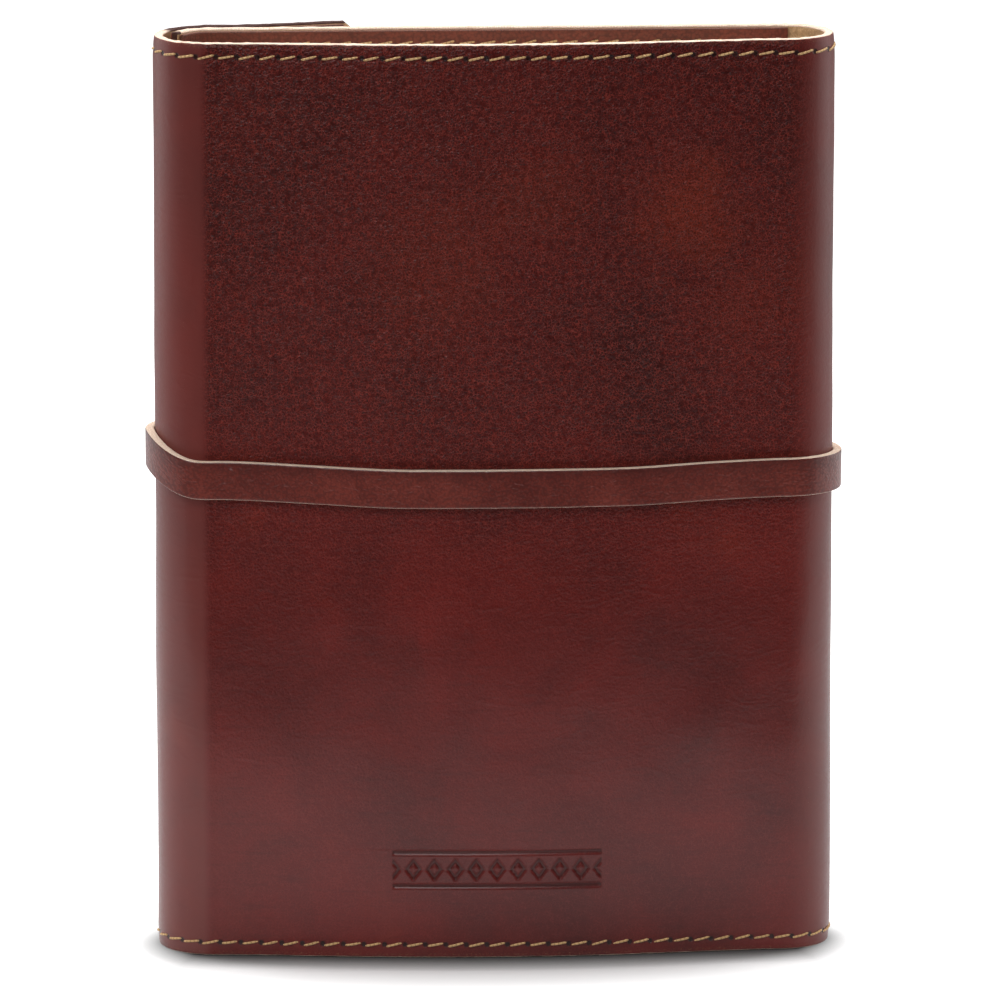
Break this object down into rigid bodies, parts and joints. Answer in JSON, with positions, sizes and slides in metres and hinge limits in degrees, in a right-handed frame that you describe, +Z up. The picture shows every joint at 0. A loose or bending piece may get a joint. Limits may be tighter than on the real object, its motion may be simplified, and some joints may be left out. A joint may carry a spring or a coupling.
{
  "type": "leather notebook cover",
  "caption": "Leather wrap cover for a pad-type notebook, with a spine that unrolls, a fore-edge flap and a strap that closes it.",
  "frame": {"origin": "middle of the footprint, on the surface that the cover stands on", "axes": "+Z up along the spine, +X towards the spine, -Y out of the back cover"},
  "size_m": [0.1696, 0.0324, 0.226],
  "materials": {
    "hide": "glossy mahogany vegetable-tanned hide with raw cream edges",
    "lining_leather": "satin dark brown lining",
    "strap_leather": "glossy strip with cream edges",
    "thread": "waxed tan thread",
    "paper": "matt cream paper",
    "card": "matt kraft card",
    "cloth_tape": "woven cloth tape"
  },
  "bodies": {
    "back_cover": {"back_cover_panel": "hide", "back_pocket_lining": "lining_leather", "back_top_thread": "thread", "back_bottom_thread": "thread", "notebook_page_block": "paper", "notebook_back_board": "card", "notebook_front_card": "card", "notebook_binding_tape": "cloth_tape", "strap_back_run": "strap_leather"},
    "spine_1": {"spine_strip_1": "hide", "spine_thread_1": "thread", "strap_spine_run_1": "strap_leather"},
    "spine_2": {"spine_strip_2": "hide", "spine_thread_2": "thread", "strap_spine_run_2": "strap_leather"},
    "spine_3": {"spine_strip_3": "hide", "spine_thread_3": "thread", "strap_spine_run_3": "strap_leather"},
    "fold_1": {"fold_strip_1": "hide", "fold_thread_1": "thread", "strap_fold_run_1": "strap_leather"},
    "fold_2": {"fold_strip_2": "hide", "fold_thread_2": "thread", "strap_fold_run_2": "strap_leather"},
    "fold_3": {"fold_strip_3": "hide", "fold_thread_3": "thread", "strap_fold_run_3": "strap_leather"},
    "front_cover": {"front_cover_panel": "hide", "front_cover_lip": "hide", "front_pocket_lining": "lining_leather", "front_top_thread": "thread", "front_bottom_thread": "thread", "strap_front_run": "strap_leather", "strap_root_thread": "thread", "strap_keeper": "strap_leather"},
    "flap": {"flap_panel": "hide", "flap_lining": "lining_leather", "flap_edge_thread": "thread", "strap_flap_run": "strap_leather"}
  },
  "joints": [
    {"name": "cover_opening", "type": "hinge", "parent": "back_cover", "child": "spine_1", "pos_m": [0.0704, -0.01395, 0.113], "axis": [0, 0, -1], "range_deg": [0, 30], "deforming": ["strap_spine_run_1", "strap_spine_run_2", "strap_spine_run_3", "strap_front_run", "fold_strip_1", "fold_strip_2", "fold_strip_3", "fold_thread_1", "fold_thread_2", "fold_thread_3", "strap_fold_run_1", "strap_fold_run_2", "strap_fold_run_3", "flap_panel", "flap_lining", "flap_edge_thread", "strap_flap_run"]},
    {"name": "spine_crease_2", "type": "hinge", "parent": "spine_1", "child": "spine_2", "pos_m": [0.08088, -0.0079, 0.113], "axis": [0, 0, -1], "range_deg": [0, 60]},
    {"name": "spine_crease_3", "type": "hinge", "parent": "spine_2", "child": "spine_3", "pos_m": [0.08088, 0.0042, 0.113], "axis": [0, 0, -1], "range_deg": [0, 60]},
    {"name": "front_cover_crease", "type": "hinge", "parent": "spine_3", "child": "front_cover", "pos_m": [0.0704, 0.01025, 0.113], "axis": [0, 0, -1], "range_deg": [0, 30]},
    {"name": "flap_opening", "type": "hinge", "parent": "back_cover", "child": "fold_1", "pos_m": [-0.06855, -0.01395, 0.113], "axis": [0, 0, 1], "range_deg": [0, 30]},
    {"name": "fold_crease_2", "type": "hinge", "parent": "fold_1", "child": "fold_2", "pos_m": [-0.08063, -0.00698, 0.113], "axis": [0, 0, 1], "range_deg": [0, 60]},
    {"name": "fold_crease_3", "type": "hinge", "parent": "fold_2", "child": "fold_3", "pos_m": [-0.08063, 0.00698, 0.113], "axis": [0, 0, 1], "range_deg": [0, 60]},
    {"name": "flap_crease", "type": "hinge", "parent": "fold_3", "child": "flap", "pos_m": [-0.06855, 0.01395, 0.113], "axis": [0, 0, 1], "range_deg": [0, 30]}
  ],
  "couplings": [
    {"joint": "spine_crease_2", "follows": "cover_opening", "ratio": 2},
    {"joint": "spine_crease_3", "follows": "cover_opening", "ratio": 2},
    {"joint": "front_cover_crease", "follows": "cover_opening", "ratio": 1},
    {"joint": "fold_crease_2", "follows": "flap_opening", "ratio": 2},
    {"joint": "fold_crease_3", "follows": "flap_opening", "ratio": 2},
    {"joint": "flap_crease", "follows": "flap_opening", "ratio": 1}
  ]
}
